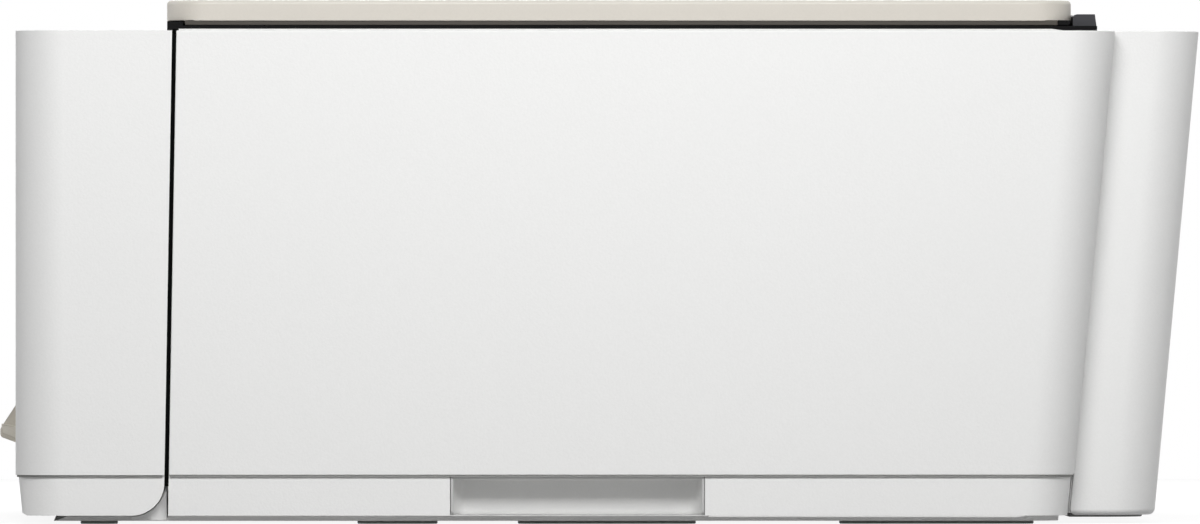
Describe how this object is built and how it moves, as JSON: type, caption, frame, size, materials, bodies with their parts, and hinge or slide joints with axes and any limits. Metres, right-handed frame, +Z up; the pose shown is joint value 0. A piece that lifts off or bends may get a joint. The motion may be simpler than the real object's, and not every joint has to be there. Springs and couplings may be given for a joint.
{
  "type": "inkjet printer",
  "caption": "All-in-one inkjet printer with a flatbed scanner, drop-front door, sliding paper cassette, print carriage and removable rear cover.",
  "frame": {"origin": "centre of the footprint, at the underside of the feet", "axes": "+X to the user's right along the width, +Y to the back, +Z up"},
  "size_m": [0.432, 0.3656, 0.159],
  "materials": {
    "case_white": "fine moulded texture",
    "lid_beige": "fine moulded texture",
    "graphite_plastic": "fine moulded texture",
    "black_plastic": "satin",
    "panel_black": "gloss",
    "display": "gloss",
    "button_grey": "satin",
    "steel": "zinc plated",
    "rubber": "matt",
    "roller_rubber": "matt",
    "gear_white": "satin",
    "guide_grey": "satin",
    "board_green": "satin",
    "scan_glass": "clear",
    "pad_white": "matt",
    "film": "clear",
    "ink_blue": "satin"
  },
  "bodies": {
    "printer_body": {"base_pan": "case_white", "main_housing": "case_white", "rubber_feet": "rubber", "inner_frame": "graphite_plastic", "side_frames": "steel", "carriage_beam": "steel", "carriage_rod": "steel", "platen": "black_plastic", "turn_guide": "black_plastic", "pinch_frame": "graphite_plastic", "service_station": "graphite_plastic", "main_board": "board_green", "power_supply": "black_plastic", "drive_motors": "steel", "drive_belt": "rubber", "encoder_strip": "film", "output_tray": "black_plastic", "scanner_base": "graphite_plastic", "scanner_frame": "black_plastic", "scanner_glass": "scan_glass", "scan_rail": "steel", "case_screws": "steel", "lid_hinges": "graphite_plastic"},
    "door": {"front_door": "case_white", "door_liner": "graphite_plastic", "control_panel": "panel_black", "touch_display": "display"},
    "power_button": {"power_button": "button_grey"},
    "lid": {"lid_shell": "lid_beige", "lid_inner": "graphite_plastic", "lid_pad": "pad_white"},
    "cassette": {"input_tray": "graphite_plastic", "tray_floor": "graphite_plastic", "tray_front": "lid_beige"},
    "width_guide_left": {"width_guide_left": "guide_grey"},
    "width_guide_right": {"width_guide_right": "guide_grey"},
    "guide_pinion": {"guide_pinion": "gear_white"},
    "length_guide": {"length_guide": "guide_grey"},
    "output_extender": {"output_extender": "black_plastic"},
    "output_stop": {"output_stop": "black_plastic"},
    "carriage": {"carriage": "black_plastic"},
    "black_cartridge": {"black_cartridge": "graphite_plastic"},
    "colour_cartridge": {"colour_cartridge": "ink_blue"},
    "motor_pulley": {"motor_pulley": "gear_white"},
    "idler_pulley": {"idler_pulley": "gear_white"},
    "feed_drive": {"feed_shaft": "steel", "feed_rollers": "roller_rubber", "feed_gear": "gear_white"},
    "exit_drive": {"exit_roller": "roller_rubber", "exit_gear": "gear_white"},
    "transfer_gear": {"transfer_gear": "gear_white"},
    "feed_pinion": {"feed_pinion": "gear_white"},
    "pinch_rollers": {"pinch_rollers": "black_plastic"},
    "star_wheels": {"star_wheels": "steel"},
    "pick_arm": {"pick_arm": "black_plastic"},
    "pick_roller": {"pick_roller": "roller_rubber"},
    "service_sled": {"service_sled": "guide_grey"},
    "rear_cover": {"rear_cover": "case_white"},
    "scan_head": {"scan_head": "black_plastic"},
    "scan_gear": {"scan_gear": "gear_white"}
  },
  "joints": [
    {"name": "door_hinge", "type": "hinge", "parent": "printer_body", "child": "door", "pos_m": [0, -0.168, 0.0135], "axis": [1, 0, 0], "range_deg": [0, 52]},
    {"name": "power_press", "type": "slide", "parent": "door", "child": "power_button", "axis": [0, 1, 0], "range_m": [0, 0.0012], "stiffness_N_per_m": 600},
    {"name": "lid_hinge", "type": "hinge", "parent": "printer_body", "child": "lid", "pos_m": [0, 0.1475, 0.1532], "axis": [-1, 0, 0], "range_deg": [0, 80]},
    {"name": "cassette_slide", "type": "slide", "parent": "printer_body", "child": "cassette", "axis": [0, -1, 0], "range_m": [0, 0.13]},
    {"name": "left_guide_slide", "type": "slide", "parent": "cassette", "child": "width_guide_left", "axis": [1, 0, 0], "range_m": [0, 0.055]},
    {"name": "right_guide_slide", "type": "slide", "parent": "cassette", "child": "width_guide_right", "axis": [-1, 0, 0], "range_m": [0, 0.055]},
    {"name": "guide_pinion_spin", "type": "hinge", "parent": "cassette", "child": "guide_pinion", "pos_m": [0, -0.02, 0.0182], "axis": [0, 0, -1], "range_deg": [0, 451]},
    {"name": "length_guide_slide", "type": "slide", "parent": "cassette", "child": "length_guide", "axis": [0, 1, 0], "range_m": [0, 0.119]},
    {"name": "extender_slide", "type": "slide", "parent": "printer_body", "child": "output_extender", "axis": [0, -1, 0], "range_m": [0, 0.11]},
    {"name": "stop_fold", "type": "hinge", "parent": "output_extender", "child": "output_stop", "pos_m": [0, -0.171, 0.0426], "axis": [1, 0, 0], "range_deg": [0, 95]},
    {"name": "carriage_slide", "type": "slide", "parent": "printer_body", "child": "carriage", "axis": [-1, 0, 0], "range_m": [0, 0.29]},
    {"name": "black_cartridge_out", "type": "slide", "parent": "carriage", "child": "black_cartridge", "axis": [0, -1, 0], "range_m": [0, 0.055]},
    {"name": "colour_cartridge_out", "type": "slide", "parent": "carriage", "child": "colour_cartridge", "axis": [0, -1, 0], "range_m": [0, 0.055]},
    {"name": "motor_pulley_spin", "type": "hinge", "parent": "printer_body", "child": "motor_pulley", "pos_m": [0.186, 0.045, 0.106], "axis": [0, 1, 0], "range_deg": [0, 2482]},
    {"name": "idler_pulley_spin", "type": "hinge", "parent": "printer_body", "child": "idler_pulley", "pos_m": [-0.186, 0.045, 0.106], "axis": [0, 1, 0], "range_deg": [0, 2482]},
    {"name": "feed_spin", "type": "hinge", "parent": "printer_body", "child": "feed_drive", "pos_m": [0, 0.022, 0.063], "axis": [1, 0, 0], "continuous": true},
    {"name": "exit_spin", "type": "hinge", "parent": "printer_body", "child": "exit_drive", "pos_m": [0, -0.022, 0.065], "axis": [1, 0, 0], "continuous": true},
    {"name": "transfer_spin", "type": "hinge", "parent": "printer_body", "child": "transfer_gear", "pos_m": [-0.187, -0.00326, 0.05347], "axis": [1, 0, 0], "continuous": true},
    {"name": "pinion_spin", "type": "hinge", "parent": "printer_body", "child": "feed_pinion", "pos_m": [-0.187, 0.0325, 0.04481], "axis": [1, 0, 0], "continuous": true},
    {"name": "pinch_spin", "type": "hinge", "parent": "printer_body", "child": "pinch_rollers", "pos_m": [0, 0.022, 0.0736], "axis": [1, 0, 0], "continuous": true},
    {"name": "star_spin", "type": "hinge", "parent": "printer_body", "child": "star_wheels", "pos_m": [0, -0.022, 0.07315], "axis": [1, 0, 0], "continuous": true},
    {"name": "pick_arm_drop", "type": "hinge", "parent": "printer_body", "child": "pick_arm", "pos_m": [0, 0.062, 0.052], "axis": [-1, 0, 0], "range_deg": [0, 21]},
    {"name": "pick_roller_spin", "type": "hinge", "parent": "pick_arm", "child": "pick_roller", "pos_m": [0, 0.088, 0.039], "axis": [1, 0, 0], "continuous": true},
    {"name": "service_sled_slide", "type": "slide", "parent": "printer_body", "child": "service_sled", "axis": [0, 1, 0], "range_m": [0, 0.03]},
    {"name": "rear_cover_out", "type": "slide", "parent": "printer_body", "child": "rear_cover", "axis": [0, 1, 0], "range_m": [0, 0.08]},
    {"name": "scan_head_slide", "type": "slide", "parent": "printer_body", "child": "scan_head", "axis": [1, 0, 0], "range_m": [0, 0.296]},
    {"name": "scan_gear_spin", "type": "hinge", "parent": "scan_head", "child": "scan_gear", "pos_m": [-0.15, 0.006, 0.126], "axis": [0, 0, -1], "range_deg": [0, 3029]}
  ],
  "couplings": [
    {"joint": "right_guide_slide", "follows": "left_guide_slide", "ratio": 1},
    {"joint": "guide_pinion_spin", "follows": "left_guide_slide", "rad_per_m": 142.86},
    {"joint": "motor_pulley_spin", "follows": "carriage_slide", "rad_per_m": 149.25},
    {"joint": "idler_pulley_spin", "follows": "carriage_slide", "rad_per_m": 149.25},
    {"joint": "exit_spin", "follows": "feed_spin", "ratio": 1.5},
    {"joint": "transfer_spin", "follows": "feed_spin", "ratio": -1.25},
    {"joint": "pinion_spin", "follows": "feed_spin", "ratio": -2.5},
    {"joint": "pinch_spin", "follows": "feed_spin", "ratio": -2},
    {"joint": "star_spin", "follows": "feed_spin", "ratio": -2.5},
    {"joint": "scan_gear_spin", "follows": "scan_head_slide", "rad_per_m": 178.57}
  ]
}
